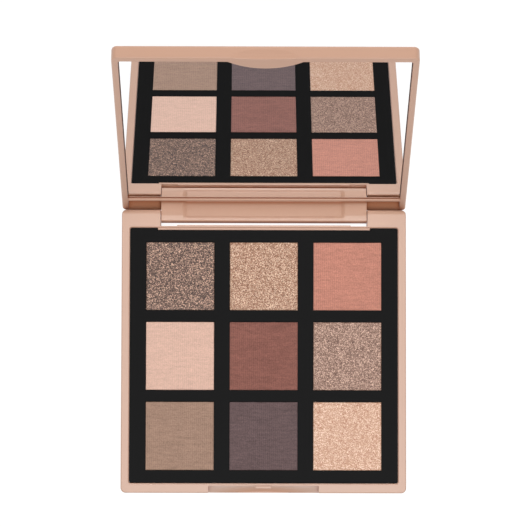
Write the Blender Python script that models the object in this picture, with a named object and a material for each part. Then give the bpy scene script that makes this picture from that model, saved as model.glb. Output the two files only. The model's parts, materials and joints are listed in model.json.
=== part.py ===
"""Nine-pan eyeshadow palette: a square hinged case with a mirror in its lid.

The frame has its origin at the centre of the underside, +X to the right, +Y towards
the hinge and +Z up. Lengths below are in millimetres and meshes are made in metres.
The lid is modelled shut, in the case's own coordinates, and hangs on an empty that
lies on the hinge axis and turns it to its open stop.
"""

import math

import bmesh
import bpy
from mathutils import Matrix, Vector

MM = 0.001

# Case
CASE_WIDTH = 90.0
CASE_DEPTH = 89.5
CORNER_RADIUS = 1.6
BASE_HEIGHT = 8.0
LID_HEIGHT = 4.6
PARTING_GAP = 0.15
FLOOR = 1.4
FOOT_ROUND = 0.8
RIM_ROUND = 0.3
RIM_CHAMFER = 0.3
SIDE_RIM = 2.6
FRONT_RIM = 3.05
CAVITY_ROUND = 0.6
EAR_DEPTH = 5.75
REAR_LEDGE = 0.65
REAR_LEDGE_HALF = 33.6

# Hinge
LID_OPEN = 115.0
AXIS_INSET = 1.6
AXIS_DROP = 2.55
NOTCH_HALF = 32.75
NOTCH_DEPTH = 5.2
RIB_HALF = 27.5
RIB_PROUD = 0.3
TONGUE_HALF = 32.45
TONGUE_ROOT = 4.6
TONGUE_DISH = 0.5
TONGUE_DISH_HALF = 25.6
KNUCKLE_FRONT = 2.15
KNUCKLE_TOP = 2.3
KNUCKLE_ROUND = 0.6
KNUCKLE_REAR_ROUND = 1.0
PIN_RADIUS = 0.75
BORE_RADIUS = 0.8
BORE_SPARE = 0.3
PIN_INNER = 28.6
PIN_OUTER = 44.4

# Thumb recess and catch
RECESS_HALF = 17.4
RECESS_DEPTH = 2.26
RECESS_WALL = 2.4
RECESS_FOOT = 2.4
CATCH_HALF = 2.5
CATCH_REACH = 1.43
CATCH_TOP = 7.9
CATCH_THICK = 1.2

# Black tray, pans and powder cakes
TRAY_TOP = 7.65
TRAY_GAP = 0.15
PLATE = 1.45
PITCH_X = 26.45
PITCH_Y = 25.25
GRID_Y = -1.6
WINDOW = 21.6
WINDOW_ROUND = 0.25
WELL = 23.9
PAN = 23.3
PAN_ROUND = 1.2
PAN_WALL = 0.4
PAN_FOOT = 0.4
PAN_BOTTOM = 1.9
PAN_TOP = 6.05
CAKE_GAP = 0.1
CAKE_TOP = 7.6
CAKE_EDGE = 0.12
CAKE_ROUND = 0.7
CAKE_TOP_ROUND = 0.2
GLUE_RADIUS = 7.0
GLUE_BOTTOM = 1.5
GLUE_TOP = 1.8

# Lid
LID_ROUND = 1.0
LID_EDGE = 0.4
LAND_SIDE = 1.9
LAND_FREE = 2.0
RAIL_REAR = 5.9
RAIL_FRONT = 7.65
GROOVE_DEPTH = 1.0
TONGUE_SUNK = 1.2
POCKET_WALL = 0.7
POCKET_DEPTH = 2.0
THUMB_RADIUS = 19.07
THUMB_DEPTH = 5.55
RECESS_ROUND = 0.8
MIRROR_SUNK = 0.65
MIRROR_THICK = 1.1
MIRROR_GAP = 0.2
LAYER_GAP = 0.1
ADHESIVE_THICK = 0.25
ADHESIVE_INSET = 4.0

HALF_WIDTH = CASE_WIDTH / 2
REAR = CASE_DEPTH / 2
FRONT = -REAR
AXIS_Y = REAR - AXIS_INSET
AXIS_Z = BASE_HEIGHT - AXIS_DROP
LID_FACE = BASE_HEIGHT + PARTING_GAP
LID_TOP = LID_FACE + LID_HEIGHT
OVERSHOOT = 1.0
CIRCLE_STEPS = 24

COLUMNS = ("left", "centre", "right")
ROWS = ("rear", "middle", "front")

CASE_COLOR = (0.72, 0.50, 0.39)
TRAY_COLOR = (0.015, 0.015, 0.015)
STEEL_COLOR = (0.60, 0.60, 0.60)
MIRROR_COLOR = (0.90, 0.91, 0.92)
GLUE_COLOR = (0.85, 0.83, 0.74)
CAKE_COLORS = {
    "rear_left": (0.28, 0.17, 0.12),
    "rear_centre": (0.56, 0.33, 0.22),
    "rear_right": (0.58, 0.25, 0.19),
    "middle_left": (0.78, 0.50, 0.40),
    "middle_centre": (0.27, 0.11, 0.09),
    "middle_right": (0.43, 0.27, 0.21),
    "front_left": (0.38, 0.24, 0.18),
    "front_centre": (0.15, 0.10, 0.10),
    "front_right": (0.80, 0.51, 0.36),
}


def clear_scene():
    for obj in list(bpy.data.objects):
        bpy.data.objects.remove(obj, do_unlink=True)


def make_material(name, color, roughness, metallic=0.0):
    material = bpy.data.materials.new(name)
    material.use_nodes = True
    shader = material.node_tree.nodes["Principled BSDF"]
    shader.inputs["Base Color"].default_value = (*color, 1.0)
    shader.inputs["Roughness"].default_value = roughness
    shader.inputs["Metallic"].default_value = metallic
    return material


def arc(centre_a, centre_b, radius, start, end, steps):
    """Points on a circle, from one angle to another, in degrees."""
    points = []
    for i in range(steps + 1):
        angle = math.radians(start + (end - start) * i / steps)
        points.append((centre_a + radius * math.cos(angle), centre_b + radius * math.sin(angle)))
    return points


def circle(centre_a, centre_b, radius):
    return arc(centre_a, centre_b, radius, 0, 360, CIRCLE_STEPS)[:-1]


def rounded_rectangle(left, right, front, rear, radius, steps=4):
    """Outline of a rectangle with round corners, counter-clockwise from its front right."""
    outline = arc(right - radius, front + radius, radius, -90, 0, steps)
    outline += arc(right - radius, rear - radius, radius, 0, 90, steps)
    outline += arc(left + radius, rear - radius, radius, 90, 180, steps)
    outline += arc(left + radius, front + radius, radius, 180, 270, steps)
    return outline


def offset(outline, distance):
    """The counter-clockwise outline moved outwards by a distance, with mitred corners."""
    moved = []
    for i, point in enumerate(outline):
        before = Vector(point) - Vector(outline[i - 1])
        after = Vector(outline[(i + 1) % len(outline)]) - Vector(point)
        first = Vector((before.y, -before.x)).normalized()
        second = Vector((after.y, -after.x)).normalized()
        shift = (first + second) * distance / (1 + first.dot(second))
        moved.append((point[0] + shift.x, point[1] + shift.y))
    return moved


def solid_mesh(name, loops):
    """A closed mesh through loops of points in millimetres, capped at both ends."""
    mesh = bmesh.new()
    rings = [[mesh.verts.new(Vector(p) * MM) for p in loop] for loop in loops]
    for lower, upper in zip(rings, rings[1:]):
        for i, vert in enumerate(lower):
            j = (i + 1) % len(lower)
            mesh.faces.new((vert, lower[j], upper[j], upper[i]))
    mesh.faces.new(list(reversed(rings[0])))
    mesh.faces.new(rings[-1])
    bmesh.ops.recalc_face_normals(mesh, faces=mesh.faces)
    data = bpy.data.meshes.new(name)
    mesh.to_mesh(data)
    mesh.free()
    return data


def level(outline, z):
    return [(x, y, z) for x, y in outline]


def add_object(name, mesh, material=None, parent=None, location=(0.0, 0.0, 0.0)):
    obj = bpy.data.objects.new(name, mesh)
    bpy.context.scene.collection.objects.link(obj)
    if material:
        mesh.materials.append(material)
    obj.parent = parent
    obj.location = Vector(location) * MM
    return obj


def upright(name, outline, bottom, top):
    """A straight solid that stands on a horizontal outline."""
    return solid_mesh(name, [level(outline, bottom), level(outline, top)])


def crosswise(name, profile, left, right):
    """A straight solid along X, with a profile of (Y, Z) points."""
    loops = [[(x, y, z) for y, z in profile] for x in (left, right)]
    return solid_mesh(name, loops)


def add_boolean(target, name, mesh, operation="DIFFERENCE"):
    """Cuts a mesh from the target, or joins it on, with a hidden tool object."""
    tool = add_object(name, mesh, parent=target.parent)
    tool.location = target.location
    tool.hide_render = True
    tool.display_type = "WIRE"
    modifier = target.modifiers.new(name, "BOOLEAN")
    modifier.operation = operation
    modifier.solver = "EXACT"
    modifier.object = tool


def round_edge_loops(bottom, top, bottom_round, top_round, steps):
    """Loops of a case shell: a rounded rectangle whose lower and upper edges are rounded."""
    stations = []
    for i in range(steps + 1):
        angle = math.radians(90 * i / steps)
        inset = bottom_round * (1 - math.sin(angle))
        stations.append((inset, bottom + bottom_round * (1 - math.cos(angle))))
    for i in range(steps + 1):
        angle = math.radians(90 * i / steps)
        inset = top_round * (1 - math.cos(angle))
        stations.append((inset, top - top_round * (1 - math.sin(angle))))
    loops = []
    for inset, z in stations:
        x = HALF_WIDTH - inset
        y = REAR - inset
        radius = CORNER_RADIUS - inset
        loops.append(level(rounded_rectangle(-x, x, -y, y, radius), z))
    return loops


def rim_outline():
    """The inner edge of the base's rim."""
    x = HALF_WIDTH - SIDE_RIM
    return rounded_rectangle(-x, x, FRONT + FRONT_RIM, REAR - EAR_DEPTH, CAVITY_ROUND, 3)


def cavity_outline():
    """The tray's opening in the base: the rim's inner edge, less a ledge along its rear."""
    outline = rim_outline()
    corner_end = len(outline) // 2
    rear = REAR - EAR_DEPTH
    ledge = [(REAR_LEDGE_HALF, rear), (REAR_LEDGE_HALF, rear - REAR_LEDGE)]
    ledge += [(-REAR_LEDGE_HALF, rear - REAR_LEDGE), (-REAR_LEDGE_HALF, rear)]
    return outline[:corner_end] + ledge + outline[corner_end:]


def square(size, radius, centre_x=0.0, centre_y=0.0, steps=3):
    half = size / 2
    left, right = centre_x - half, centre_x + half
    return rounded_rectangle(left, right, centre_y - half, centre_y + half, radius, steps)


def pan_places():
    """The name and the centre of each of the nine pans."""
    for row, row_name in enumerate(ROWS):
        for column, column_name in enumerate(COLUMNS):
            x = (column - 1) * PITCH_X
            y = GRID_Y + (1 - row) * PITCH_Y
            yield f"{row_name}_{column_name}", x, y


def build_base_shell(case_material):
    loops = round_edge_loops(0.0, BASE_HEIGHT, FOOT_ROUND, RIM_ROUND, 3)
    shell = add_object("base_shell", solid_mesh("base_shell", loops), case_material)

    ledge = BASE_HEIGHT - RIM_CHAMFER
    top = BASE_HEIGHT + OVERSHOOT
    add_boolean(shell, "cut_cavity", upright("cut_cavity", cavity_outline(), FLOOR, top))
    flare = RIM_CHAMFER + OVERSHOOT / 2
    rim = [level(rim_outline(), ledge), level(offset(rim_outline(), flare), ledge + flare)]
    add_boolean(shell, "cut_rim_chamfer", solid_mesh("cut_rim_chamfer", rim))

    wall = REAR - NOTCH_DEPTH
    rib = wall + RIB_PROUD
    back = REAR + OVERSHOOT
    notch = [(-NOTCH_HALF, wall), (-RIB_HALF, wall), (-RIB_HALF, rib), (RIB_HALF, rib)]
    notch += [(RIB_HALF, wall), (NOTCH_HALF, wall), (NOTCH_HALF, back), (-NOTCH_HALF, back)]
    add_boolean(shell, "cut_notch", upright("cut_notch", notch, -OVERSHOOT, top))

    rear_edge = math.degrees(math.acos(AXIS_INSET / AXIS_DROP))
    ear = arc(AXIS_Y, AXIS_Z, AXIS_DROP, rear_edge, 90, 6)
    ear += [(AXIS_Y, top), (back, top), (back, ear[0][1])]
    reach = HALF_WIDTH + OVERSHOOT
    add_boolean(shell, "cut_ear_round", crosswise("cut_ear_round", ear, -reach, reach))

    bore = circle(AXIS_Y, AXIS_Z, BORE_RADIUS)
    add_boolean(shell, "cut_pin_bores", crosswise("cut_pin_bores", bore, -reach, reach))

    ridge = FRONT + RECESS_DEPTH
    fall = BASE_HEIGHT - RECESS_WALL - RECESS_FOOT
    scoop = [(ridge, top)]
    for i in range(9):
        angle = math.radians(90 * i / 8)
        y = FRONT - RIM_ROUND + (RECESS_DEPTH + RIM_ROUND) * math.cos(angle)
        scoop.append((y, BASE_HEIGHT - RECESS_WALL - fall * math.sin(angle)))
    scoop += [(FRONT - OVERSHOOT, RECESS_FOOT), (FRONT - OVERSHOOT, top)]
    recess = crosswise("cut_thumb_recess", scoop, -RECESS_HALF, RECESS_HALF)
    add_boolean(shell, "cut_thumb_recess", recess)

    tip = FRONT + CATCH_REACH
    root = ridge + RIM_ROUND
    under = CATCH_TOP - CATCH_THICK
    catch = [(tip, under + RIM_ROUND), (tip + RIM_ROUND, under), (root, under)]
    catch += [(root, CATCH_TOP), (tip, CATCH_TOP)]
    tab = crosswise("join_catch", catch, -CATCH_HALF, CATCH_HALF)
    add_boolean(shell, "join_catch", tab, "UNION")


def build_tray(material):
    """The black moulding that holds the pans down: a plate over a grid of deep wells."""
    outline = offset(cavity_outline(), -TRAY_GAP)
    bottom = FLOOR + LAYER_GAP
    tray = add_object("pan_tray", upright("pan_tray", outline, bottom, TRAY_TOP), material)
    ceiling = TRAY_TOP - PLATE
    for name, x, y in pan_places():
        well = upright(f"cut_well_{name}", square(WELL, PAN_ROUND, x, y), 0.0, ceiling)
        add_boolean(tray, f"cut_well_{name}", well)
        window = square(WINDOW, WINDOW_ROUND, x, y, 2)
        top = TRAY_TOP + OVERSHOOT
        opening = upright(f"cut_window_{name}", window, ceiling - OVERSHOOT, top)
        add_boolean(tray, f"cut_window_{name}", opening)


def pan_mesh(name):
    """A pressed tin pan: one skin that goes up outside, over the rim and down inside."""
    inside = PAN - 2 * PAN_WALL
    loops = [
        level(square(PAN - 2 * PAN_FOOT, PAN_ROUND), PAN_BOTTOM),
        level(square(PAN, PAN_ROUND), PAN_BOTTOM + PAN_FOOT),
        level(square(PAN, PAN_ROUND), PAN_TOP),
        level(square(inside, PAN_ROUND - PAN_WALL), PAN_TOP),
        level(square(inside, PAN_ROUND - PAN_WALL), PAN_BOTTOM + PAN_WALL),
    ]
    return solid_mesh(name, loops)


def cake_mesh(name):
    """Pressed powder: it fills the pan and stands up through the tray's window."""
    filled = PAN - 2 * PAN_WALL - 2 * CAKE_GAP
    raised = WINDOW - 2 * CAKE_GAP
    shoulder = PAN_TOP - LAYER_GAP
    crown = raised - 2 * CAKE_EDGE
    loops = [
        level(square(filled, CAKE_ROUND), PAN_BOTTOM + PAN_WALL + LAYER_GAP),
        level(square(filled, CAKE_ROUND), shoulder),
        level(square(raised, CAKE_TOP_ROUND), shoulder),
        level(square(raised, CAKE_TOP_ROUND), CAKE_TOP - CAKE_EDGE),
        level(square(crown, CAKE_TOP_ROUND / 2), CAKE_TOP),
    ]
    return solid_mesh(name, loops)


def build_pans():
    tin = make_material("pan_tinplate", STEEL_COLOR, 0.35, 1.0)
    glue = make_material("pan_glue", GLUE_COLOR, 0.6)
    for name, x, y in pan_places():
        add_object(f"pan_{name}", pan_mesh(f"pan_{name}"), tin, location=(x, y, 0.0))
        powder = make_material(f"powder_{name}", CAKE_COLORS[name], 0.8)
        cake = cake_mesh(f"powder_{name}")
        add_object(f"powder_{name}", cake, powder, location=(x, y, 0.0))
        dot = circle(0.0, 0.0, GLUE_RADIUS)
        pad = upright(f"pan_glue_{name}", dot, GLUE_BOTTOM, GLUE_TOP)
        add_object(f"pan_glue_{name}", pad, glue, location=(x, y, 0.0))


def build_pins():
    steel = make_material("hinge_pin_steel", STEEL_COLOR, 0.3, 1.0)
    for side, sign in (("left", -1), ("right", 1)):
        ends = sorted((sign * PIN_INNER, sign * PIN_OUTER))
        pin = crosswise(f"hinge_pin_{side}", circle(AXIS_Y, AXIS_Z, PIN_RADIUS), *ends)
        add_object(f"hinge_pin_{side}", pin, steel)


def mirror_outline(clearance):
    """The mirror's place in the lid, with the thumb pad's arc taken out of its free edge."""
    x = HALF_WIDTH - LAND_SIDE
    front = FRONT + LAND_FREE
    rear = REAR - RAIL_FRONT
    centre = FRONT + THUMB_DEPTH - THUMB_RADIUS
    half_angle = math.degrees(math.acos((front - centre) / THUMB_RADIUS))
    outline = arc(x - RECESS_ROUND, front + RECESS_ROUND, RECESS_ROUND, -90, 0, 3)
    outline += arc(x - RECESS_ROUND, rear - RECESS_ROUND, RECESS_ROUND, 0, 90, 3)
    outline += arc(-x + RECESS_ROUND, rear - RECESS_ROUND, RECESS_ROUND, 90, 180, 3)
    outline += arc(-x + RECESS_ROUND, front + RECESS_ROUND, RECESS_ROUND, 180, 270, 3)
    outline += arc(0.0, centre, THUMB_RADIUS, 90 + half_angle, 90 - half_angle, 16)
    return offset(outline, -clearance)


def tongue_profile(dish):
    """Section of the hinge tongue with the lid shut, its outer surface lowered by a dish.

    The knuckle is drawn round the axis as it stands when the lid is open, with a level top
    that ends in a round edge and an upright front, and is then turned shut. The heel is
    the round edge between that front and the lid's rear wall.
    """
    edge = KNUCKLE_ROUND - KNUCKLE_FRONT
    knuckle = arc(edge, KNUCKLE_TOP - KNUCKLE_ROUND, KNUCKLE_ROUND, 180, 90, 5)
    knuckle += [(edge + TONGUE_DISH, KNUCKLE_TOP - dish), (0.0, KNUCKLE_TOP - dish)]
    shut = Matrix.Rotation(math.radians(LID_OPEN), 2)
    knuckle = [shut @ Vector(point) for point in knuckle]

    slant = math.radians(LID_OPEN - 180)
    heel_y = AXIS_INSET - KNUCKLE_REAR_ROUND
    heel_reach = KNUCKLE_FRONT - KNUCKLE_REAR_ROUND
    heel_z = (heel_reach - heel_y * math.cos(slant)) / math.sin(slant)
    heel = arc(heel_y, heel_z, KNUCKLE_REAR_ROUND, 0, LID_OPEN - 180, 4)

    inside = LID_FACE + TONGUE_SUNK
    root = REAR - TONGUE_ROOT + dish
    round_axis = [(AXIS_Y + y, AXIS_Z + z) for y, z in heel + knuckle]
    return [(REAR, inside)] + round_axis + [(root, LID_FACE), (root, inside)]


def build_lid_shell(case_material, hinge):
    loops = round_edge_loops(LID_FACE, LID_TOP, LID_EDGE, LID_ROUND, 4)
    shell = add_object("lid_shell", solid_mesh("lid_shell", loops), case_material, hinge)
    shell.location = Vector((0.0, -AXIS_Y, -AXIS_Z)) * MM

    floor = LID_FACE + MIRROR_SUNK + MIRROR_THICK + ADHESIVE_THICK + 2 * LAYER_GAP
    recess = upright("cut_mirror_recess", mirror_outline(0.0), LID_FACE - OVERSHOOT, floor)
    add_boolean(shell, "cut_mirror_recess", recess)

    inner = HALF_WIDTH - LAND_SIDE
    front, rear = REAR - RAIL_REAR, REAR - POCKET_WALL
    for side, sign in (("left", -1), ("right", 1)):
        left, right = sorted((sign * TONGUE_HALF, sign * inner))
        outline = [(left, front), (right, front), (right, rear), (left, rear)]
        name = f"cut_pocket_{side}"
        pocket = upright(name, outline, LID_FACE - OVERSHOOT, LID_FACE + POCKET_DEPTH)
        add_boolean(shell, name, pocket)

    end, back = TONGUE_HALF + OVERSHOOT, REAR - TONGUE_ROOT + OVERSHOOT
    outline = [(-end, front), (end, front), (end, back), (-end, back)]
    groove = upright("cut_groove", outline, LID_FACE - OVERSHOOT, LID_FACE + GROOVE_DEPTH)
    add_boolean(shell, "cut_groove", groove)

    step = TONGUE_DISH_HALF + TONGUE_DISH
    stations = [(TONGUE_HALF, 0.0), (step, 0.0), (TONGUE_DISH_HALF, TONGUE_DISH)]
    loops = [[(-x, y, z) for y, z in tongue_profile(dish)] for x, dish in stations]
    loops += [[(x, y, z) for y, z in tongue_profile(dish)] for x, dish in reversed(stations)]
    add_boolean(shell, "join_tongue", solid_mesh("join_tongue", loops), "UNION")

    for side, sign in (("left", -1), ("right", 1)):
        ends = sorted((sign * (PIN_INNER - BORE_SPARE), sign * (TONGUE_HALF + OVERSHOOT)))
        name = f"cut_tongue_bore_{side}"
        bore = crosswise(name, circle(AXIS_Y, AXIS_Z, BORE_RADIUS), *ends)
        add_boolean(shell, name, bore)


def build_mirror(hinge):
    glass = make_material("mirror_glass", MIRROR_COLOR, 0.02, 1.0)
    bottom = LID_FACE + MIRROR_SUNK
    top = bottom + MIRROR_THICK
    mesh = upright("mirror", mirror_outline(MIRROR_GAP), bottom, top)
    add_object("mirror", mesh, glass, hinge, (0.0, -AXIS_Y, -AXIS_Z))

    tape = make_material("mirror_adhesive", GLUE_COLOR, 0.7)
    x = HALF_WIDTH - LAND_SIDE - ADHESIVE_INSET
    front = FRONT + THUMB_DEPTH + ADHESIVE_INSET
    rear = REAR - RAIL_FRONT - ADHESIVE_INSET
    outline = rounded_rectangle(-x, x, front, rear, RECESS_ROUND)
    bottom = top + LAYER_GAP
    sheet = upright("mirror_adhesive", outline, bottom, bottom + ADHESIVE_THICK)
    add_object("mirror_adhesive", sheet, tape, hinge, (0.0, -AXIS_Y, -AXIS_Z))


def build_lid(case_material):
    """Everything that turns with the lid, on an empty that lies on the hinge axis."""
    hinge = bpy.data.objects.new("lid_hinge_axis", None)
    bpy.context.scene.collection.objects.link(hinge)
    hinge.location = Vector((0.0, AXIS_Y, AXIS_Z)) * MM
    hinge.rotation_euler.x = -math.radians(LID_OPEN)
    build_lid_shell(case_material, hinge)
    build_mirror(hinge)


clear_scene()
case = make_material("case_plastic", CASE_COLOR, 0.45)
build_base_shell(case)
build_tray(make_material("tray_plastic", TRAY_COLOR, 0.5))
build_pans()
build_pins()
build_lid(case)
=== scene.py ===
"""Nine-pan eyeshadow palette: the finished surfaces of its mouldings, powders and mirror.

Pieces are shaped in millimetres, in the frame's own axes: X to the right, Y towards the
hinge and Z up. The lid's pieces are shaped shut, as they are moulded and assembled, and
are then swung open on the hinge.
"""

import json
import math

import bmesh
import bpy
from mathutils import Matrix, Vector, noise


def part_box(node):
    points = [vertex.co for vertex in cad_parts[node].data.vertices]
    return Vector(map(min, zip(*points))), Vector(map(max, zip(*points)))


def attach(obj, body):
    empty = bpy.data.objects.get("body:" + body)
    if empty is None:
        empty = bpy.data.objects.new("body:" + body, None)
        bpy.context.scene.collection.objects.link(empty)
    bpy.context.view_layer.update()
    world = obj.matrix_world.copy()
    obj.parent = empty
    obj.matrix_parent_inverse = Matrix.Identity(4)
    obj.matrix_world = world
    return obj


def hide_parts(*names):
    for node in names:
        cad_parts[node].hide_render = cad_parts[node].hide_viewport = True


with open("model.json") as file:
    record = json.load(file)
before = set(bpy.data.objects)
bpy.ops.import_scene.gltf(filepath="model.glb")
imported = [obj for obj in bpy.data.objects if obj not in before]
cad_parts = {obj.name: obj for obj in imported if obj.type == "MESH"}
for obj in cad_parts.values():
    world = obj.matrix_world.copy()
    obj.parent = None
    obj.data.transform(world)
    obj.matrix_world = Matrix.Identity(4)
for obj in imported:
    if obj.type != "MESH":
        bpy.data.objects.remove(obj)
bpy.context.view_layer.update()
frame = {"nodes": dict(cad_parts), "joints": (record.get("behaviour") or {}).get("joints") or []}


# ------------------------------------------------------------------------------------
# Lower case. A shallow box moulded in one shot from peach ABS with a satin skin. Its rear
# corners are the hinge ears. The front wall has a thumb scoop, and the small tab in the
# scoop is the catch that the lid's edge snaps over.

MM = 0.001

case_low, case_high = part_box("base_shell")
HALF_WIDTH = case_high.x / MM
REAR = case_high.y / MM
FRONT = case_low.y / MM
BASE_TOP = case_high.z / MM
BASE_FLOOR = 1.4
CORNER = 1.6
FOOT_ROUND = 0.8
RIM_ROUND = 0.35
RIM_CHAMFER = 0.3
SIDE_RIM = 2.6
FRONT_RIM = 3.05
OPENING_CORNER = 0.6
EAR_DEPTH = 5.75
LEDGE_DEPTH = 0.65
LEDGE_HALF = 33.6
PAST = 1.0  # how far a cutting shape runs past the surface that it cuts

hinge = frame["joints"][0]
AXIS_Y = hinge["pos_m"][1] / MM
AXIS_Z = hinge["pos_m"][2] / MM
AXIS_INSET = REAR - AXIS_Y
PIN_BORE = 0.8

NOTCH_HALF = 32.75
NOTCH_WALL = REAR - 5.2
RIB_HALF = 27.5
RIB_PROUD = 0.3

SCOOP_HALF = 17.4
SCOOP_DEPTH = 2.26
SCOOP_FOOT = 2.4
SCOOP_BOW = 0.2
SCOOP_BROW = 1.6
TAB_HALF = 2.5
TAB_REACH = 0.83
TAB_THICK = 1.2
TAB_TOP = 7.9
TAB_ROOT = 0.3

CASE_PEACH = (0.565, 0.345, 0.250, 1.0)
CASE_WARM = (0.551, 0.332, 0.238, 1.0)
# Painted shade: the lee colour is laid on where other surfaces stand near, and the nook colour
# in narrow nooks, each within its reach in metres.
CASE_PAINTED_LEE_SHADE = (0.43, 0.165, 0.070, 1.0)
LEE_SHADE_REACH = 0.009
CASE_PAINTED_NOOK_SHADE = (0.30, 0.075, 0.025, 1.0)
NOOK_SHADE_REACH = 0.0014


class Wire:
    """A node's output in a material. Arithmetic on wires adds the Math nodes for it."""

    def __init__(self, tree, socket):
        self.tree = tree
        self.socket = socket

    def node(self, kind, settings=None, inputs=None, output=0):
        """Adds a node: first its settings, then the value or the wire of each socket."""
        node = self.tree.nodes.new(kind)
        for setting, value in (settings or {}).items():
            if setting == "stops":
                ramp = node.color_ramp.elements
                while len(ramp) < len(value):
                    ramp.new(1.0)
                for stop, (position, colour) in zip(ramp, value):
                    stop.position = position
                    stop.color = colour
            else:
                setattr(node, setting, value)
        for socket, value in (inputs or {}).items():
            if isinstance(value, Wire):
                self.tree.links.new(value.socket, node.inputs[socket])
            else:
                node.inputs[socket].default_value = value
        return Wire(self.tree, node.outputs[output])

    def math(self, operation, first, second):
        return self.node("ShaderNodeMath", {"operation": operation}, {0: first, 1: second})

    def __add__(self, other):
        return self.math("ADD", self, other)

    def __sub__(self, other):
        return self.math("SUBTRACT", self, other)

    def __mul__(self, other):
        return self.math("MULTIPLY", self, other)

    def __rsub__(self, other):
        return self.math("SUBTRACT", other, self)

    __radd__ = __add__
    __rmul__ = __mul__

    def stretched(self, x, y, z):
        """This place, with each axis scaled by its own number."""
        return self.node(
            "ShaderNodeVectorMath", {"operation": "MULTIPLY"}, {0: self, 1: (x, y, z)}
        )

    def grain(self, scale, detail=2.0, roughness=0.5):
        """Smooth noise at this place, from 0 to 1, with `scale` lumps to a unit."""
        inputs = {"Vector": self, "Scale": scale, "Detail": detail, "Roughness": roughness}
        return self.node("ShaderNodeTexNoise", None, inputs)

    def shade(self, low, high):
        """A colour that goes from low to high as this wire goes from 0 to 1."""
        settings = {"data_type": "RGBA"}
        return self.node("ShaderNodeMix", settings, {0: self, 6: low, 7: high}, 2)

    def steps(self, *stops):
        """A colour read from a ramp of (position, colour) stops."""
        return self.node("ShaderNodeValToRGB", {"stops": stops}, {0: self})

    def relief(self, depth):
        """A surface direction from this height, whose full swing is `depth` metres."""
        return self.node("ShaderNodeBump", None, {"Height": self, "Distance": depth})

    def into(self, shader, socket):
        self.tree.links.new(self.socket, shader.inputs[socket])


def new_finish(name, **fixed):
    """A Principled finish with its constant sockets set, and the wire of a place in mm."""
    material = bpy.data.materials.new(name)
    material.use_nodes = True
    tree = material.node_tree
    shader = tree.nodes["Principled BSDF"]
    for socket, value in fixed.items():
        shader.inputs[socket.replace("_", " ")].default_value = value
    place = Wire(tree, tree.nodes.new("ShaderNodeTexCoord").outputs["Object"])
    return material, shader, place.stretched(1 / MM, 1 / MM, 1 / MM)


def arc(across, up, radius, start, end, steps):
    """Points on a circle from one angle to another, in degrees."""
    points = []
    for i in range(steps + 1):
        angle = math.radians(start + (end - start) * i / steps)
        points.append((across + radius * math.cos(angle), up + radius * math.sin(angle)))
    return points


def round_cornered(left, right, front, rear, radius, steps=8):
    """A rectangle with round corners, counter-clockwise from its front right."""
    outline = arc(right - radius, front + radius, radius, -90, 0, steps)
    outline += arc(right - radius, rear - radius, radius, 0, 90, steps)
    outline += arc(left + radius, rear - radius, radius, 90, 180, steps)
    outline += arc(left + radius, front + radius, radius, 180, 270, steps)
    return outline


def spread(outline, distance):
    """A counter-clockwise outline moved outwards by a distance, with mitred corners."""
    moved = []
    for i, point in enumerate(outline):
        before = Vector(point) - Vector(outline[i - 1])
        after = Vector(outline[(i + 1) % len(outline)]) - Vector(point)
        first = Vector((before.y, -before.x)).normalized()
        second = Vector((after.y, -after.x)).normalized()
        shift = (first + second) * distance / (1 + first.dot(second))
        moved.append((point[0] + shift.x, point[1] + shift.y))
    return moved


def at_height(outline, z):
    return [(x, y, z) for x, y in outline]


def at_side(profile, x):
    return [(x, y, z) for y, z in profile]


def skin(name, loops):
    """A closed piece drawn through loops of points and capped at both ends."""
    mesh = bmesh.new()
    rings = [[mesh.verts.new(point) for point in loop] for loop in loops]
    for lower, upper in zip(rings, rings[1:]):
        for i, vert in enumerate(lower):
            j = (i + 1) % len(lower)
            mesh.faces.new((vert, lower[j], upper[j], upper[i]))
    mesh.faces.new(list(reversed(rings[0])))
    mesh.faces.new(rings[-1])
    bmesh.ops.recalc_face_normals(mesh, faces=mesh.faces)
    data = bpy.data.meshes.new(name)
    mesh.to_mesh(data)
    mesh.free()
    piece = bpy.data.objects.new(name, data)
    bpy.context.scene.collection.objects.link(piece)
    return piece


def pillar(name, outline, bottom, top):
    return skin(name, [at_height(outline, bottom), at_height(outline, top)])


def bar(name, profile, left, right):
    return skin(name, [at_side(profile, left), at_side(profile, right)])


def settle(piece):
    """Makes a piece and its modifiers one plain mesh."""
    bpy.context.view_layer.update()
    graph = bpy.context.evaluated_depsgraph_get()
    mesh = bpy.data.meshes.new_from_object(piece.evaluated_get(graph))
    piece.modifiers.clear()
    piece.data = mesh


def carve(piece, tool, operation="DIFFERENCE"):
    """Cuts a tool's shape out of a piece, or joins it on, and throws the tool away."""
    modifier = piece.modifiers.new(tool.name, "BOOLEAN")
    modifier.operation = operation
    modifier.solver = "EXACT"
    modifier.object = tool
    settle(piece)
    bpy.data.objects.remove(tool, do_unlink=True)


def break_edges(piece, width, segments=3, sharpest=28):
    """Rounds every sharp edge by a width, and shades the broad faces flat."""
    bevel = piece.modifiers.new("broken edges", "BEVEL")
    bevel.width = width
    bevel.segments = segments
    bevel.limit_method = "ANGLE"
    bevel.angle_limit = math.radians(sharpest)
    bevel.use_clamp_overlap = False
    bevel.miter_outer = "MITER_ARC"
    settle(piece)
    piece.data.shade_smooth()
    weighted = piece.modifiers.new("flat faces", "WEIGHTED_NORMAL")
    weighted.keep_sharp = True
    weighted.weight = 100
    settle(piece)


def hand_over(piece, body, material, node, turn=Matrix.Identity(4)):
    """Sets a finished piece in the frame, in metres, in place of its CAD node."""
    piece.data.transform(turn @ Matrix.Scale(MM, 4))
    piece.data.materials.clear()
    piece.data.materials.append(material)
    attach(piece, body)
    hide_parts(node)


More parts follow.
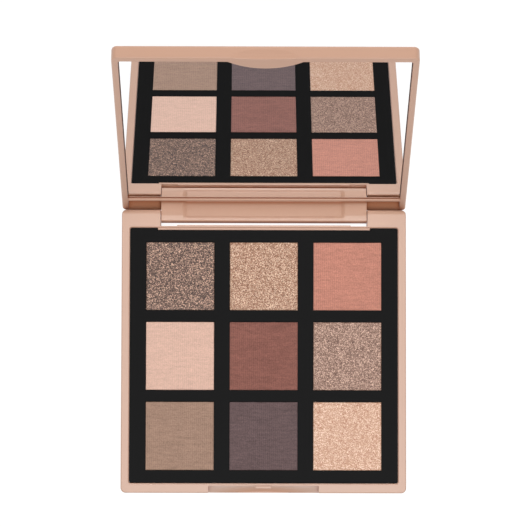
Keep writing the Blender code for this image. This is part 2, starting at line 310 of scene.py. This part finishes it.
def case_loops(bottom, top, lower_round, upper_round, corner, steps=6):
    """The outside of a case half, with its lower and upper edges rounded."""
    stations = []
    for i in range(steps + 1):
        angle = math.radians(90 * i / steps)
        inset = lower_round * (1 - math.sin(angle))
        stations.append((inset, bottom + lower_round * (1 - math.cos(angle))))
    for i in range(steps + 1):
        angle = math.radians(90 * i / steps)
        inset = upper_round * (1 - math.cos(angle))
        stations.append((inset, top - upper_round * (1 - math.sin(angle))))
    loops = []
    for inset, z in stations:
        x = HALF_WIDTH - inset
        y = REAR - inset
        outline = round_cornered(-x, x, -y, y, corner - inset)
        loops.append(at_height(outline, z))
    return loops


def rim_inside():
    """The inner edge of the case's rim."""
    x = HALF_WIDTH - SIDE_RIM
    return round_cornered(-x, x, FRONT + FRONT_RIM, REAR - EAR_DEPTH, OPENING_CORNER, 5)


def tray_opening():
    """The opening that the black tray drops into: the rim's inside, less a rear ledge."""
    outline = rim_inside()
    rear_corner = len(outline) // 2
    rear = REAR - EAR_DEPTH
    ledge = [(LEDGE_HALF, rear), (LEDGE_HALF, rear - LEDGE_DEPTH)]
    ledge += [(-LEDGE_HALF, rear - LEDGE_DEPTH), (-LEDGE_HALF, rear)]
    return outline[:rear_corner] + ledge + outline[rear_corner:]


def scoop_section(share):
    """The thumb scoop's section: a straight slope at its ends, hollowed in its middle."""
    ridge = FRONT + SCOOP_DEPTH
    foot = FRONT + SCOOP_BOW * share
    steps = 16
    section = [(ridge, BASE_TOP + PAST)]
    for i in range(steps + 1):
        t = i / steps
        angle = t * math.pi / 2
        straight = (ridge + (foot - ridge) * t, BASE_TOP + (SCOOP_FOOT - BASE_TOP) * t)
        hollow_y = foot + (ridge - foot) * math.cos(angle)
        brow = BASE_TOP - SCOOP_BROW
        hollow_z = brow - (brow - SCOOP_FOOT) * math.sin(angle)
        y = straight[0] + (hollow_y - straight[0]) * share
        z = straight[1] + (hollow_z - straight[1]) * share
        section.append((y, z))
    section += [(FRONT - PAST, SCOOP_FOOT), (FRONT - PAST, BASE_TOP + PAST)]
    return section


def make_case_finish():
    """Satin ABS: an almost even peach with a very fine spark texture.

    Shade is painted into its colour: a redder, darker painted shade wherever another surface
    stands within 9 mm, and a deep painted shade in narrow nooks within 1.4 mm.
    """
    material, shader, place = new_finish(
        "case_plastic", Roughness=0.42, Specular_IOR_Level=0.45, Sheen_Weight=0.2
    )
    cloud = place.grain(0.08, 3.0).shade(CASE_PEACH, CASE_WARM)
    settings = {"samples": 8}
    # Painted shade: ambient occlusion darkens and reddens the colour in nooks and near other
    # surfaces.
    nook_shade = place.node("ShaderNodeAmbientOcclusion", settings, {"Distance": NOOK_SHADE_REACH}, 1)
    lee_shade = place.node("ShaderNodeAmbientOcclusion", settings, {"Distance": LEE_SHADE_REACH}, 1)
    nook_shade.shade(CASE_PAINTED_NOOK_SHADE, lee_shade.shade(CASE_PAINTED_LEE_SHADE, cloud)).into(shader, "Base Color")
    spark = place.grain(6.0, 3.0, 0.6)
    (0.36 + 0.12 * spark).into(shader, "Roughness")
    spark.relief(0.000004).into(shader, "Normal")
    return material


case_finish = make_case_finish()

lower_case = skin("lower_case", case_loops(0.0, BASE_TOP, FOOT_ROUND, RIM_ROUND, CORNER))
carve(lower_case, pillar("tray opening", tray_opening(), BASE_FLOOR, BASE_TOP + PAST))
ledge_top = BASE_TOP - RIM_CHAMFER
flare = RIM_CHAMFER + PAST / 2
flared = at_height(spread(rim_inside(), flare), ledge_top + flare)
carve(lower_case, skin("rim chamfer", [at_height(rim_inside(), ledge_top), flared]))

notch = [(-NOTCH_HALF, NOTCH_WALL), (-RIB_HALF, NOTCH_WALL)]
notch += [(-RIB_HALF, NOTCH_WALL + RIB_PROUD), (RIB_HALF, NOTCH_WALL + RIB_PROUD)]
notch += [(RIB_HALF, NOTCH_WALL), (NOTCH_HALF, NOTCH_WALL)]
notch += [(NOTCH_HALF, REAR + PAST), (-NOTCH_HALF, REAR + PAST)]
carve(lower_case, pillar("hinge notch", notch, -PAST, BASE_TOP + PAST))

ear_round = BASE_TOP - AXIS_Z
rear_edge = math.degrees(math.acos(AXIS_INSET / ear_round))
ear = arc(AXIS_Y, AXIS_Z, ear_round, rear_edge, 90, 14)
ear += [(AXIS_Y, BASE_TOP + PAST), (REAR + PAST, BASE_TOP + PAST), (REAR + PAST, ear[0][1])]
carve(lower_case, bar("ear round", ear, -HALF_WIDTH - PAST, HALF_WIDTH + PAST))

bore = arc(AXIS_Y, AXIS_Z, PIN_BORE, 0, 352.5, 47)
carve(lower_case, bar("pin bores", bore, -HALF_WIDTH - PAST, HALF_WIDTH + PAST))

scoop = []
for i in range(33):
    x = SCOOP_HALF * (i / 16 - 1)
    share = 1 - (x / SCOOP_HALF) ** 2
    scoop.append(at_side(scoop_section(share), x))
carve(lower_case, skin("thumb scoop", scoop))

tab_tip = FRONT + SCOOP_DEPTH - TAB_REACH
tab_foot = TAB_TOP - TAB_THICK
tab = [(tab_tip, tab_foot + TAB_ROOT), (tab_tip + TAB_ROOT, tab_foot)]
tab += [(FRONT + SCOOP_DEPTH + TAB_ROOT, tab_foot), (FRONT + SCOOP_DEPTH + TAB_ROOT, TAB_TOP)]
tab += [(tab_tip, TAB_TOP)]
carve(lower_case, bar("catch tab", tab, -TAB_HALF, TAB_HALF), "UNION")

break_edges(lower_case, 0.12)
for point in lower_case.data.vertices:
    point.co.y = max(point.co.y, FRONT)  # the scoop's ends are too thin for a full bevel
hand_over(lower_case, "base", case_finish, "base_shell")


# ------------------------------------------------------------------------------------
# Tray. One black polystyrene moulding with a fine matt skin. Its plate frames the nine
# windows, and the deep wells under the plate hold the pans' rims. It is pressed into the
# lower case until it rests on the case's floor.

tray_low, tray_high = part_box("pan_tray")
TRAY_BOTTOM = tray_low.z / MM
TRAY_TOP = tray_high.z / MM
TRAY_GAP = 0.15
PLATE = 1.45
WELL = 23.9
WELL_CORNER = 1.2
WINDOW = 21.6
WINDOW_CORNER = 0.25
PITCH_X = 26.45
PITCH_Y = 25.25
GRID_Y = -1.6
ROWS = ("rear", "middle", "front")
COLUMNS = ("left", "centre", "right")


def places():
    """Each pan's name and the centre of its window."""
    for row, row_name in enumerate(ROWS):
        for column, column_name in enumerate(COLUMNS):
            x = (column - 1) * PITCH_X
            y = GRID_Y + (1 - row) * PITCH_Y
            yield f"{row_name}_{column_name}", x, y


def square(size, corner, x, y, steps=4):
    half = size / 2
    return round_cornered(x - half, x + half, y - half, y + half, corner, steps)


def make_tray_finish():
    """Black polystyrene with the dull, even grain of a spark-eroded mould."""
    material, shader, place = new_finish(
        "tray_plastic", Roughness=0.5, Specular_IOR_Level=0.07
    )
    pores = place.grain(4.0, 4.0, 0.65)
    black = (0.0037, 0.0034, 0.0034, 1.0)
    soft_black = (0.0055, 0.0052, 0.0052, 1.0)
    pores.shade(black, soft_black).into(shader, "Base Color")
    (0.46 + 0.16 * pores).into(shader, "Roughness")
    pores.relief(0.000006).into(shader, "Normal")
    return material


tray = pillar("tray", spread(tray_opening(), -TRAY_GAP), TRAY_BOTTOM, TRAY_TOP)
for name, x, y in places():
    ceiling = TRAY_TOP - PLATE
    well = square(WELL, WELL_CORNER, x, y)
    carve(tray, pillar("well", well, TRAY_BOTTOM - PAST, ceiling))
    window = square(WINDOW, WINDOW_CORNER, x, y)
    carve(tray, pillar("window", window, ceiling - PAST, TRAY_TOP + PAST))
break_edges(tray, 0.07, 2)
hand_over(tray, "base", make_tray_finish(), "pan_tray")


# ------------------------------------------------------------------------------------
# Pans and their glue. Each pan is drawn from thin tinplate and sits under the tray's plate,
# so only its powder shows. A round dab of hot-melt glue fixes it to the case's floor.


def make_tinplate():
    """Bright tinplate with the fine streaks of its rolling and a little dulling."""
    material, shader, place = new_finish("pan_tinplate", Metallic=1.0)
    streaks = place.stretched(0.4, 9.0, 9.0).grain(1.0, 3.0)
    bright = (0.62, 0.62, 0.60, 1.0)
    dull = (0.44, 0.44, 0.43, 1.0)
    streaks.shade(bright, dull).into(shader, "Base Color")
    (0.24 + 0.22 * streaks).into(shader, "Roughness")
    streaks.relief(0.000003).into(shader, "Normal")
    return material


def make_glue(name, fresh, aged):
    """Milky hot-melt glue, slightly wavy where it was squeezed flat."""
    material, shader, place = new_finish(name, Roughness=0.4)
    waves = place.grain(0.7, 2.0)
    waves.shade(fresh, aged).into(shader, "Base Color")
    waves.relief(0.00008).into(shader, "Normal")
    return material


def refinish(node, material):
    """Gives a CAD node that keeps its own shape a new finish."""
    mesh = frame["nodes"][node].data
    mesh.materials.clear()
    mesh.materials.append(material)


tinplate = make_tinplate()
pan_glue = make_glue("pan_glue", (0.80, 0.76, 0.62, 1.0), (0.70, 0.64, 0.48, 1.0))
for name, x, y in places():
    refinish(f"pan_{name}", tinplate)
    refinish(f"pan_glue_{name}", pan_glue)


# ------------------------------------------------------------------------------------
# Powder cakes. Talc, mica and pigment pressed into the pans through a fabric tape, which
# leaves faint rows in the matte shades. The pearl and glitter shades hold mica flakes
# that lie every way, so they sparkle grain by grain. Each cake stands up to the tray's top.

PAN_INSIDE = 22.3
CAKE = 21.4
CAKE_ARRIS = 0.12
PAN_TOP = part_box("pan_rear_left")[1].z / MM
PAN_SPARE = 0.1
GRAIN_PITCH = 0.21
THREAD_SCALE = 0.49  # a wave texture with this scale repeats every 0.64 mm

MATTE = {"rows": 0.010, "lumps": 0.006, "lump_size": 0.5}
PEARL = {"rows": 0.004, "lumps": 0.014, "lump_size": 0.45}
GLITTER = {"rows": 0.0, "lumps": 0.026, "lump_size": 0.42}


def sealed_cake(name, x, y, press):
    """A pressed cake whose top is drawn grain by grain, with a fine arris round it."""
    node_low, node_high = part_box(name)
    bottom = node_low.z / MM
    top = node_high.z / MM
    shoulder = PAN_TOP - PAN_SPARE
    half = CAKE / 2 - CAKE_ARRIS
    count = round(2 * half / GRAIN_PITCH)
    mesh = bmesh.new()
    grid = []
    for j in range(count + 1):
        row = []
        for i in range(count + 1):
            u = x - half + 2 * half * i / count
            v = y - half + 2 * half * j / count
            rows = noise.noise(Vector((u * 0.35, v * 1.7, 1.0)))
            lumps = noise.noise(Vector((u, v, 7.0)) / press["lump_size"])
            height = press["rows"] * (rows - 1) + press["lumps"] * (lumps - 1)
            row.append(mesh.verts.new((u, v, top + height)))
        grid.append(row)
    for lower, upper in zip(grid, grid[1:]):
        for i in range(count):
            mesh.faces.new((lower[i], lower[i + 1], upper[i + 1], upper[i]))
    rim = grid[0][:-1] + [row[-1] for row in grid[:-1]]
    rim += grid[-1][:0:-1] + [row[0] for row in grid[:0:-1]]
    walls = [
        (CAKE / 2, top - CAKE_ARRIS),
        (CAKE / 2, shoulder),
        (PAN_INSIDE / 2, shoulder),
        (PAN_INSIDE / 2, bottom),
    ]
    above = rim
    for reach, z in walls:
        below = []
        for vert in rim:
            out_x = (vert.co.x - x) * reach / half
            out_y = (vert.co.y - y) * reach / half
            below.append(mesh.verts.new((x + out_x, y + out_y, z)))
        for i, vert in enumerate(above):
            j = (i + 1) % len(above)
            mesh.faces.new((vert, below[i], below[j], above[j]))
        above = below
    mesh.faces.new(above)
    bmesh.ops.recalc_face_normals(mesh, faces=mesh.faces)
    data = bpy.data.meshes.new(name)
    mesh.to_mesh(data)
    mesh.free()
    data.shade_smooth()
    data.set_sharp_from_angle(angle=math.radians(40))
    cake = bpy.data.objects.new(f"cake_{name.removeprefix('powder_')}", data)
    bpy.context.scene.collection.objects.link(cake)
    return cake


def tinted(colour, factor):
    """A colour made lighter or darker by a factor."""
    return tuple(min(1.0, part * factor) for part in colour) + (1.0,)


def make_matte(name, colour, contrast):
    """Matte pressed powder: chalky, with the faint print of the pressing tape's threads."""
    material, shader, place = new_finish(
        name, Specular_IOR_Level=0.2, Roughness=0.85, Sheen_Weight=0.2
    )
    rows = place.stretched(0.30, 1.6, 1.0).grain(1.0, 2.0, 0.6)
    specks = place.grain(2.6, 2.0, 0.7)
    threads = place.node(
        "ShaderNodeTexWave",
        {"bands_direction": "X"},
        {"Vector": place, "Scale": THREAD_SCALE, "Distortion": 1.5, "Detail Scale": 2.0},
        1,
    )
    tone = 0.36 * rows + 0.55 * specks + 0.09 * threads
    low = tinted(colour, 1 - contrast)
    high = tinted(colour, 1 + contrast)
    tone.shade(low, high).into(shader, "Base Color")
    tone.relief(0.00003).into(shader, "Normal")
    return material


def make_sparkling(name, stops, flake, shine):
    """Pearl or glitter powder: mica flakes in many tones, each lying its own way."""
    material, shader, place = new_finish(name, Specular_IOR_Level=0.4, Sheen_Weight=0.2)
    cells = place.node(
        "ShaderNodeTexVoronoi", {"feature": "F1"}, {"Vector": place, "Scale": 1 / flake}, 1
    )
    flakes = cells.node("ShaderNodeSeparateColor", None, {0: cells})
    dust = place.grain(0.9 / flake, 2.0, 0.7)
    tone = 0.8 * flakes + 0.2 * dust
    tone.steps(*stops).into(shader, "Base Color")
    (shine * flakes).into(shader, "Metallic")
    (0.62 - 0.25 * flakes).into(shader, "Roughness")
    dust.relief(0.00004).into(shader, "Normal")
    return material


SHADES = {
    "rear_left": (
        GLITTER,
        make_sparkling(
            "powder_rear_left",
            (
                (0.15, (0.023, 0.010, 0.007, 1.0)),
                (0.45, (0.092, 0.046, 0.031, 1.0)),
                (0.65, (0.158, 0.081, 0.057, 1.0)),
                (0.86, (0.647, 0.392, 0.270, 1.0)),
            ),
            0.20,
            0.15,
        ),
    ),
    "rear_centre": (
        GLITTER,
        make_sparkling(
            "powder_rear_centre",
            (
                (0.12, (0.134, 0.041, 0.016, 1.0)),
                (0.40, (0.316, 0.143, 0.079, 1.0)),
                (0.62, (0.411, 0.224, 0.139, 1.0)),
                (0.88, (0.758, 0.530, 0.372, 1.0)),
            ),
            0.20,
            0.15,
        ),
    ),
    "rear_right": (MATTE, make_matte("powder_rear_right", (0.495, 0.205, 0.145), 0.75)),
    "middle_left": (MATTE, make_matte("powder_middle_left", (0.69, 0.42, 0.322), 0.5)),
    "middle_centre": (MATTE, make_matte("powder_middle_centre", (0.237, 0.092, 0.069), 0.95)),
    "middle_right": (
        PEARL,
        make_sparkling(
            "powder_middle_right",
            (
                (0.12, (0.090, 0.039, 0.026, 1.0)),
                (0.40, (0.226, 0.117, 0.079, 1.0)),
                (0.62, (0.295, 0.163, 0.114, 1.0)),
                (0.88, (0.672, 0.426, 0.312, 1.0)),
            ),
            0.20,
            0.12,
        ),
    ),
    "front_left": (MATTE, make_matte("powder_front_left", (0.339, 0.206, 0.145), 0.75)),
    "front_centre": (MATTE, make_matte("powder_front_centre", (0.128, 0.080, 0.077), 1.0)),
    "front_right": (
        PEARL,
        make_sparkling(
            "powder_front_right",
            (
                (0.12, (0.387, 0.152, 0.083, 1.0)),
                (0.40, (0.540, 0.288, 0.180, 1.0)),
                (0.62, (0.576, 0.344, 0.225, 1.0)),
                (0.88, (0.828, 0.592, 0.450, 1.0)),
            ),
            0.20,
            0.12,
        ),
    ),
}

for name, x, y in places():
    press, powder_finish = SHADES[name]
    cake = sealed_cake(f"powder_{name}", x, y, press)
    hand_over(cake, "base", powder_finish, f"powder_{name}")


# ------------------------------------------------------------------------------------
# Hinge pins. Two short lengths of drawn steel wire, pushed in from the sides through the
# ears and into the ends of the lid's tongue. Only their ends show, in the ears' bores.


def make_pin_steel():
    """Drawn steel wire, with fine lines along its length."""
    material, shader, place = new_finish("hinge_pin_steel", Metallic=1.0)
    lines = place.stretched(0.3, 14.0, 14.0).grain(1.0, 2.0)
    lines.shade((0.58, 0.58, 0.58, 1.0), (0.36, 0.36, 0.37, 1.0)).into(shader, "Base Color")
    (0.22 + 0.2 * lines).into(shader, "Roughness")
    return material


pin_steel = make_pin_steel()
refinish("hinge_pin_left", pin_steel)
refinish("hinge_pin_right", pin_steel)


# ------------------------------------------------------------------------------------
# Lid. The same peach ABS as the lower case, in one moulding: a shallow cover, a tongue with
# the hinge barrel at its end, a rail that keeps the mirror off the hinge, a pocket for each
# ear, and a thumb pad in the middle of the free edge with a shallow dish outside it.

LID_GAP = 0.15
LID_THICK = 4.6
LID_FACE = BASE_TOP + LID_GAP
LID_TOP = LID_FACE + LID_THICK
LID_ROUND = 1.0
LID_EDGE = 0.4
LAND_SIDE = 1.9
LAND_FREE = 2.0
RAIL_REAR = REAR - 5.9
RAIL_FRONT = REAR - 6.95
RAIL_BREAK = 0.38
GROOVE_DEPTH = 1.0
POCKET_WALL = 0.7
POCKET_DEPTH = 3.2
TONGUE_HALF = 32.6
TONGUE_ROOT = REAR - 4.6
TONGUE_SUNK = 1.2
KNUCKLE_FRONT = 2.15
KNUCKLE_TOP = 2.3
KNUCKLE_ROUND = 0.6
HEEL_ROUND = 1.0
KNUCKLE_LEAN = 8.0
KNUCKLE_TOE = 0.33
TONGUE_DISH_HALF = 24.3
TONGUE_DISH_END = 25.9
TONGUE_DISH_DEPTH = 0.6
TONGUE_DISH_SLOPE = 1.3
TONGUE_LIP = 0.1
RAIL_UNDERCUT = 0.3
RAIL_LIP = 0.5
PIN_REACH = 28.3
RECESS_CORNER = 0.8
RECESS_DEPTH = 2.2
PAD_RADIUS = 19.07
PAD_DEPTH = 5.55
THUMB_DISH_HALF = 17.2
THUMB_DISH_REACH = 2.0
THUMB_DISH_HEIGHT = 5.5
THUMB_DISH_OUTSIDE = 1.6

LID_OPEN = hinge["range_deg"][1]
opening = Matrix.Rotation(-math.radians(LID_OPEN), 4, "X")
axis = Matrix.Translation(Vector(hinge["pos_m"]))
swung_open = axis @ opening @ axis.inverted()


def mirror_seat(clearance):
    """The outline of the mirror's seat, with the thumb pad taken out of its free edge."""
    x = HALF_WIDTH - LAND_SIDE - RECESS_CORNER
    front = FRONT + LAND_FREE
    centre = FRONT + PAD_DEPTH - PAD_RADIUS
    half_angle = math.degrees(math.acos((front - centre) / PAD_RADIUS))
    front_corner = front + RECESS_CORNER
    rear_corner = RAIL_FRONT - RECESS_CORNER
    outline = arc(x, front_corner, RECESS_CORNER, -90, 0, 6)
    outline += arc(x, rear_corner, RECESS_CORNER, 0, 90, 6)
    outline += arc(-x, rear_corner, RECESS_CORNER, 90, 180, 6)
    outline += arc(-x, front_corner, RECESS_CORNER, 180, 270, 6)
    outline += arc(0.0, centre, PAD_RADIUS, 90 + half_angle, 90 - half_angle, 40)
    return spread(outline, -clearance)


def swell(t):
    """0 below t = 0, 1 above t = 1, and a smooth rise between them."""
    t = max(0.0, min(1.0, t))
    return t * t * (3 - 2 * t)


def tongue_section(dished):
    """The tongue's section, from 0, its full ends, to 1, the dished middle.

    The knuckle is drawn round the axis as it stands when the lid is open, with a level top
    that ends in a round edge and an upright front, and is then turned shut. The heel is
    the round edge between that front and the lid's rear wall.
    """
    sunk = TONGUE_DISH_DEPTH * dished
    edge = KNUCKLE_ROUND - KNUCKLE_FRONT
    lean = 180 + KNUCKLE_LEAN
    knuckle = arc(edge, KNUCKLE_TOP - KNUCKLE_ROUND, KNUCKLE_ROUND, lean, 90, 10)
    for i in range(9):
        y = edge + TONGUE_LIP + TONGUE_DISH_SLOPE * i / 8
        knuckle.append((y, KNUCKLE_TOP - sunk * swell(i / 8)))
    knuckle += [(0.1, KNUCKLE_TOP - sunk - 0.03), (0.5, KNUCKLE_TOP - sunk - 0.1)]
    shut = Matrix.Rotation(math.radians(LID_OPEN), 2)
    knuckle = [shut @ Vector(point) for point in knuckle]

    slant = math.radians(LID_OPEN - 180)
    heel_y = AXIS_INSET - HEEL_ROUND
    heel_reach = KNUCKLE_FRONT + KNUCKLE_TOE - HEEL_ROUND
    heel_z = (heel_reach - heel_y * math.cos(slant)) / math.sin(slant)
    heel = arc(heel_y, heel_z, HEEL_ROUND, 0, LID_OPEN - 180, 8)

    inside = LID_FACE + TONGUE_SUNK
    root = TONGUE_ROOT + sunk
    round_axis = [(AXIS_Y + y, AXIS_Z + z) for y, z in heel + knuckle]
    return [(REAR, inside)] + round_axis + [(root, LID_FACE), (root, inside)]


lid = skin("lid", case_loops(LID_FACE, LID_TOP, LID_EDGE, LID_ROUND, CORNER))
carve(lid, pillar("mirror seat", mirror_seat(0.0), LID_FACE - PAST, LID_FACE + RECESS_DEPTH))

for side in (-1, 1):
    left, right = sorted((side * TONGUE_HALF, side * (HALF_WIDTH - LAND_SIDE)))
    rear = REAR - POCKET_WALL
    pocket = [(left, RAIL_REAR), (right, RAIL_REAR), (right, rear), (left, rear)]
    carve(lid, pillar("pocket", pocket, LID_FACE - PAST, LID_FACE + POCKET_DEPTH))

end = TONGUE_HALF + PAST
groove = [(-end, RAIL_REAR), (end, RAIL_REAR)]
groove += [(end, TONGUE_ROOT + PAST), (-end, TONGUE_ROOT + PAST)]
carve(lid, pillar("rail groove", groove, LID_FACE - PAST, LID_FACE + GROOVE_DEPTH))

# The rail slopes down to the glass, and is cut back behind the glass's edge.
rail_end = HALF_WIDTH - LAND_SIDE
undercut = [(-rail_end, RAIL_FRONT - PAST), (rail_end, RAIL_FRONT - PAST)]
undercut += [(rail_end, RAIL_FRONT + RAIL_UNDERCUT), (-rail_end, RAIL_FRONT + RAIL_UNDERCUT)]
seat_back = LID_FACE + RECESS_DEPTH
carve(lid, pillar("rail undercut", undercut, LID_FACE + RAIL_LIP, seat_back))

slope = [(RAIL_FRONT - PAST, LID_FACE + RAIL_BREAK), (RAIL_FRONT - PAST, LID_FACE - PAST)]
slope += [(RAIL_FRONT + RAIL_BREAK + PAST, LID_FACE - PAST), (RAIL_FRONT, LID_FACE + RAIL_BREAK)]
carve(lid, bar("rail slope", slope, -rail_end, rail_end))

edges = [TONGUE_DISH_HALF + (TONGUE_DISH_END - TONGUE_DISH_HALF) * i / 8 for i in range(9)]
places_along = [-x for x in reversed(edges)] + edges
places_along = [-TONGUE_HALF] + places_along + [TONGUE_HALF]
tongue = []
for x in places_along:
    dished = swell((TONGUE_DISH_END - abs(x)) / (TONGUE_DISH_END - TONGUE_DISH_HALF))
    tongue.append(at_side(tongue_section(dished), x))
carve(lid, skin("tongue", tongue), "UNION")

for side in (-1, 1):
    ends = sorted((side * PIN_REACH, side * (TONGUE_HALF + PAST)))
    carve(lid, bar("tongue bore", bore, *ends))

dish = []
for i in range(1, 40):
    angle = math.pi * i / 40
    x = -THUMB_DISH_HALF * math.cos(angle)
    shrink = math.sin(angle)
    section = []
    for j in range(48):
        turn = 2 * math.pi * j / 48
        y = FRONT - THUMB_DISH_OUTSIDE + THUMB_DISH_REACH * shrink * math.cos(turn)
        section.append((y, LID_FACE + THUMB_DISH_HEIGHT * shrink * math.sin(turn)))
    dish.append(at_side(section, x))
carve(lid, skin("thumb dish", dish))

break_edges(lid, 0.12)
hand_over(lid, "lid", case_finish, "lid_shell", swung_open)


# ------------------------------------------------------------------------------------
# Mirror and its adhesive. Thin float glass, silvered on its back and seamed along its
# edges, cut to the seat with the thumb pad's arc taken out. A sheet of tape holds it.

MIRROR_GAP = 0.2
MIRROR_SUNK = 0.65
MIRROR_THICK = 1.1
SEAMED_EDGE = 0.12


def make_mirror_finish():
    """Silvered glass with a faint green-grey cast and hardly any haze."""
    material, shader, place = new_finish("mirror_glass", Metallic=1.0, Roughness=0.0)
    haze = place.grain(0.05, 2.0)
    clear = (0.965, 0.97, 0.975, 1.0)
    cast = (0.95, 0.96, 0.965, 1.0)
    haze.shade(clear, cast).into(shader, "Base Color")
    return material


glass_face = LID_FACE + MIRROR_SUNK
glass_back = glass_face + MIRROR_THICK
mirror = skin(
    "mirror_plate",
    [
        at_height(mirror_seat(MIRROR_GAP + SEAMED_EDGE), glass_face),
        at_height(mirror_seat(MIRROR_GAP), glass_face + SEAMED_EDGE),
        at_height(mirror_seat(MIRROR_GAP), glass_back - SEAMED_EDGE),
        at_height(mirror_seat(MIRROR_GAP + SEAMED_EDGE), glass_back),
    ],
)
hand_over(mirror, "lid", make_mirror_finish(), "mirror", swung_open)
refinish(
    "mirror_adhesive",
    make_glue("mirror_adhesive", (0.82, 0.80, 0.72, 1.0), (0.74, 0.71, 0.60, 1.0)),
)


# ------------------------------------------------------------------------------------
# Studio. A broad white table under a white tent, with the camera above it on a column. The
# key is a soft lamp overhead and a low warm lamp stands behind the lid. A narrow beam in
# front of the mirror stands for the key's light that the mirror throws forward.

FLOOR_HALF = 3.0
FLOOR_DROP = 0.00003  # keeps the table's face clear of the case's underside
FLOOR_GLOW = 0.93
TENT_GLOW = 0.28
WHITE = (1.0, 1.0, 1.0, 1.0)
CARD = (0.16, 0.16, 0.16, 1.0)
CARD_FIBRE = (0.14, 0.14, 0.14, 1.0)

GLEAM_FOOT = Vector((0.0, 0.0439, 0.0079))
GLEAM_TALL = 0.056
GLEAM_WAY = Vector((0.0, -0.952, -0.328))
GLEAM_UP = Vector((0.0, -0.328, 0.952))


def make_floor_finish():
    """White matt card, lit faintly from below like a light table."""
    material, shader, place = new_finish(
        "studio_card", Roughness=0.9, Specular_IOR_Level=0.1, Emission_Strength=FLOOR_GLOW
    )
    shader.inputs["Emission Color"].default_value = WHITE
    place.grain(0.02, 3.0).shade(CARD, CARD_FIBRE).into(shader, "Base Color")
    return material


def area_lamp(name, place, way, size, watts):
    """A square soft lamp at a place, shining along a direction."""
    data = bpy.data.lights.new(name, "AREA")
    data.size = size
    data.energy = watts
    lamp = bpy.data.objects.new(name, data)
    lamp.location = place
    lamp.rotation_euler = way.to_track_quat("-Z", "Y").to_euler()
    bpy.context.scene.collection.objects.link(lamp)
    return lamp


floor_mesh = bpy.data.meshes.new("floor")
corners = [(-1, -1), (1, -1), (1, 1), (-1, 1)]
card = [(FLOOR_HALF * x, FLOOR_HALF * y, -FLOOR_DROP) for x, y in corners]
floor_mesh.from_pydata(card, [], [(0, 1, 2, 3)])
floor_mesh.materials.append(make_floor_finish())
floor = bpy.data.objects.new("floor", floor_mesh)
bpy.context.scene.collection.objects.link(floor)

world = bpy.data.worlds.new("tent")
world.use_nodes = True
tent = world.node_tree.nodes["Background"]
tent.inputs["Color"].default_value = WHITE
tent.inputs["Strength"].default_value = TENT_GLOW
bpy.context.scene.world = world

overhead = Vector((0.05, -0.25, 1.39))
area_lamp("key", overhead, -overhead, 0.5, 14.0)

behind = Vector((0.0, 1.4, 0.38))
warm_lamp = area_lamp("back", behind, -behind, 0.6, 6.5)
warm_lamp.data.color = (1.0, 0.77, 0.62)

gleam = area_lamp("gleam", GLEAM_FOOT + GLEAM_UP * GLEAM_TALL / 2, GLEAM_WAY, 0.092, 0.01)
gleam.data.shape = "RECTANGLE"
gleam.data.size_y = GLEAM_TALL
gleam.data.spread = math.radians(8)
gleam.data.color = (0.55, 0.78, 1.0)
gleam.visible_camera = False
gleam.visible_glossy = False

camera_data = bpy.data.cameras.new("camera")
camera_data.sensor_width = 36.0
camera_data.lens = 191.636
camera_data.clip_start = 0.05
camera_data.clip_end = 20.0
camera = bpy.data.objects.new("camera", camera_data)
camera.location = (-0.00413, -0.02718, 0.89437)
camera.rotation_euler = (math.radians(3.542), math.radians(-0.247), math.radians(0.134))
bpy.context.scene.collection.objects.link(camera)
bpy.context.scene.camera = camera

bpy.context.scene.view_settings.view_transform = "Standard"
